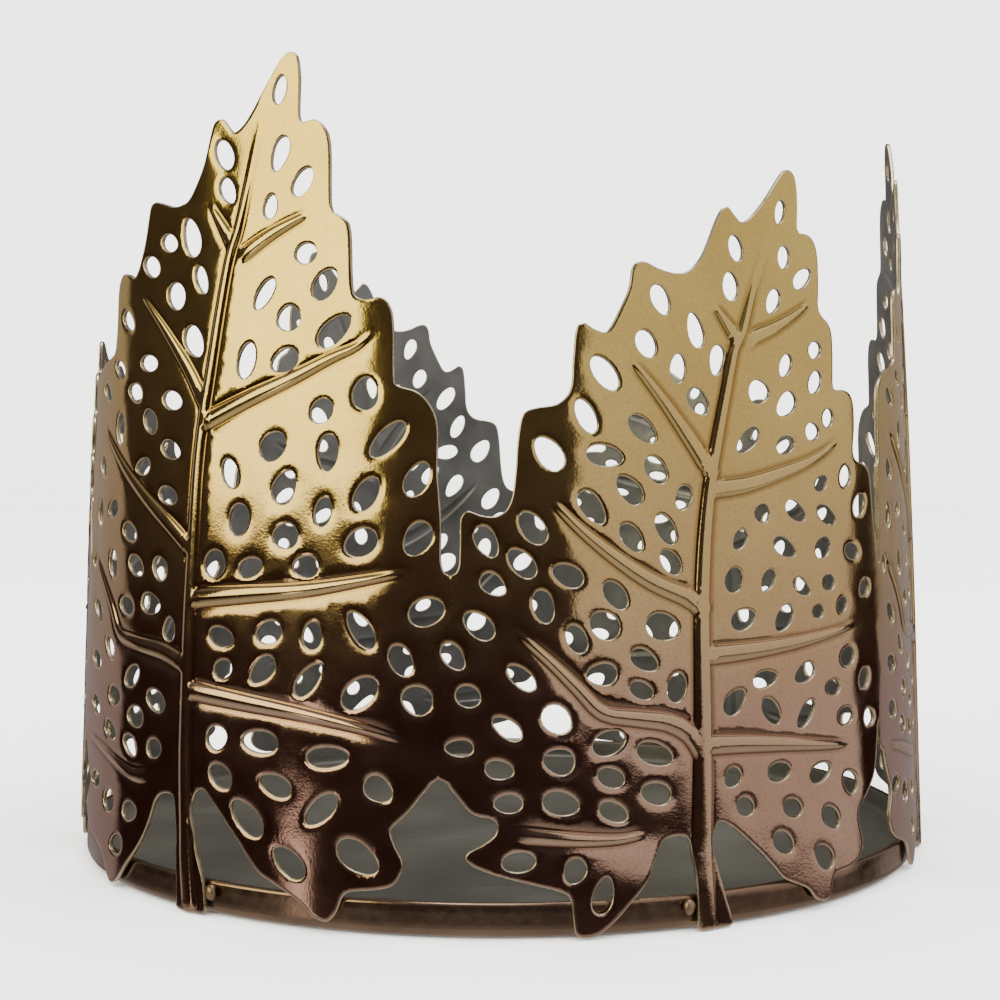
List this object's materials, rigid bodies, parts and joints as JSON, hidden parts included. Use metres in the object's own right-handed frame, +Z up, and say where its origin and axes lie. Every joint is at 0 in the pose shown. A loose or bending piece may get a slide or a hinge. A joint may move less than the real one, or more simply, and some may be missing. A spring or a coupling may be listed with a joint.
{
  "type": "candle holder",
  "caption": "Round candle holder: a shallow sheet-metal pan inside an openwork wall of punched, veined metal leaves that stands around a jar candle.",
  "frame": {"origin": "on the axis of the pan, at the level it stands on", "axes": "+Z up, -Y towards the viewer of the picture, +X to the viewer's right"},
  "size_m": [0.1129, 0.112, 0.0964],
  "materials": {
    "pan_metal": "bronze plating outside, dull brushed grey floor",
    "leaf_bronze": "polished bronze-gold plating",
    "weld_bronze": "plated weld bead"
  },
  "bodies": {
    "root": {"base_pan": "pan_metal", "leaf_panel_a": "leaf_bronze", "leaf_panel_b": "leaf_bronze", "leaf_panel_c": "leaf_bronze", "leaf_panel_d": "leaf_bronze", "leaf_panel_e": "leaf_bronze", "leaf_panel_f": "leaf_bronze", "stem_weld_a": "weld_bronze", "stem_weld_b": "weld_bronze", "stem_weld_c": "weld_bronze", "stem_weld_d": "weld_bronze", "stem_weld_e": "weld_bronze", "stem_weld_f": "weld_bronze"}
  },
  "joints": []
}
